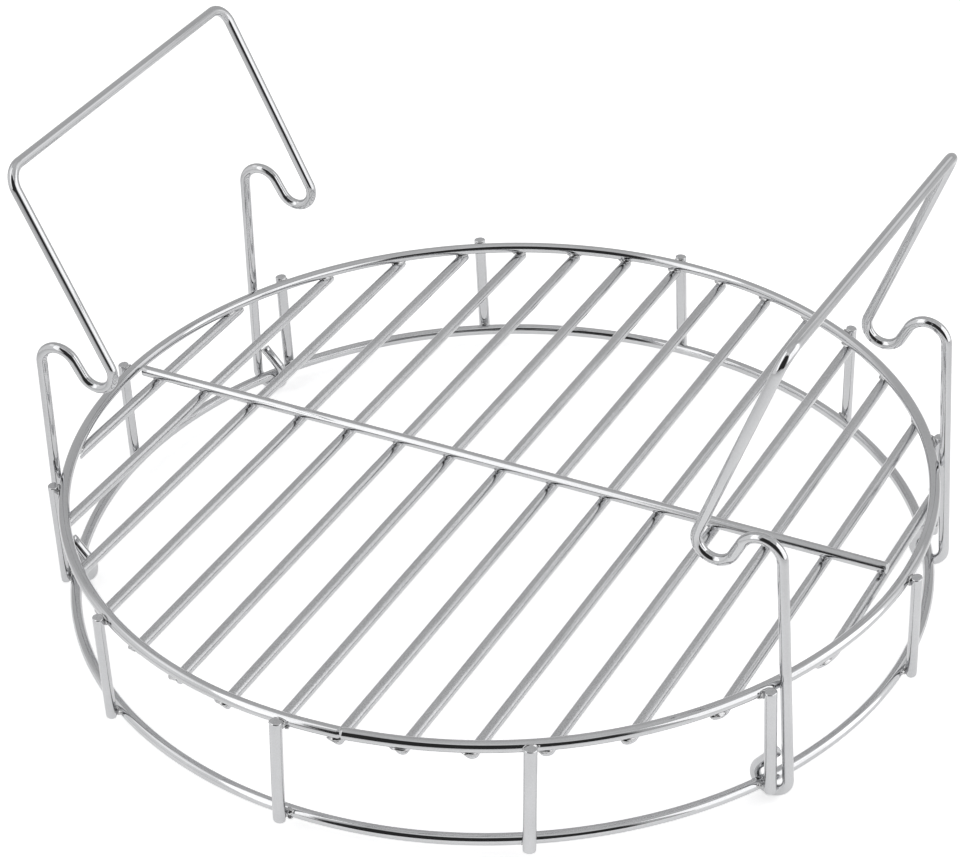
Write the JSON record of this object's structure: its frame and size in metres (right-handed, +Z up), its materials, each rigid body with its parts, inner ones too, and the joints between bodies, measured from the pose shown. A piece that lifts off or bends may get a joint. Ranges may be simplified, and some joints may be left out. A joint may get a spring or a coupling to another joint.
{
  "type": "roasting basket",
  "caption": "Round chromed wire basket on low posts, with a bar grid, a cross bar and swinging wire handles, that lifts a roast clear of the tin.",
  "frame": {"origin": "on the common axis of both rings, at the level of the table under the handles' eyes", "axes": "+Z up, +X along the cross bar towards the right handle, +Y along the grid wires towards the back"},
  "size_m": [0.3326, 0.3326, 0.177],
  "materials": {
    "chrome": "bright chrome plate on drawn steel wire, with small plated-over weld spots"
  },
  "bodies": {
    "basket": {"bottom_ring": "chrome", "top_ring": "chrome", "post_01": "chrome", "post_02": "chrome", "post_03": "chrome", "post_04": "chrome", "post_05": "chrome", "post_06": "chrome", "post_07": "chrome", "post_08": "chrome", "post_09": "chrome", "post_10": "chrome", "post_11": "chrome", "post_12": "chrome", "grid_wire_01": "chrome", "grid_wire_02": "chrome", "grid_wire_03": "chrome", "grid_wire_04": "chrome", "grid_wire_05": "chrome", "grid_wire_06": "chrome", "grid_wire_07": "chrome", "grid_wire_08": "chrome", "grid_wire_09": "chrome", "grid_wire_10": "chrome", "grid_wire_11": "chrome", "grid_wire_12": "chrome", "grid_wire_13": "chrome", "grid_wire_14": "chrome", "grid_wire_15": "chrome", "cross_bar": "chrome"},
    "handle_left": {"handle_left": "chrome"},
    "handle_right": {"handle_right": "chrome"}
  },
  "joints": [
    {"name": "handle_left_swing", "type": "hinge", "parent": "basket", "child": "handle_left", "pos_m": [-0.1426, -0.00195, 0.008], "axis": [0.022, -0.9998, 0], "range_deg": [0, 90]},
    {"name": "handle_right_swing", "type": "hinge", "parent": "basket", "child": "handle_right", "pos_m": [0.1432, -0.0033, 0.008], "axis": [0.023, 0.9997, 0], "range_deg": [0, 90]}
  ]
}
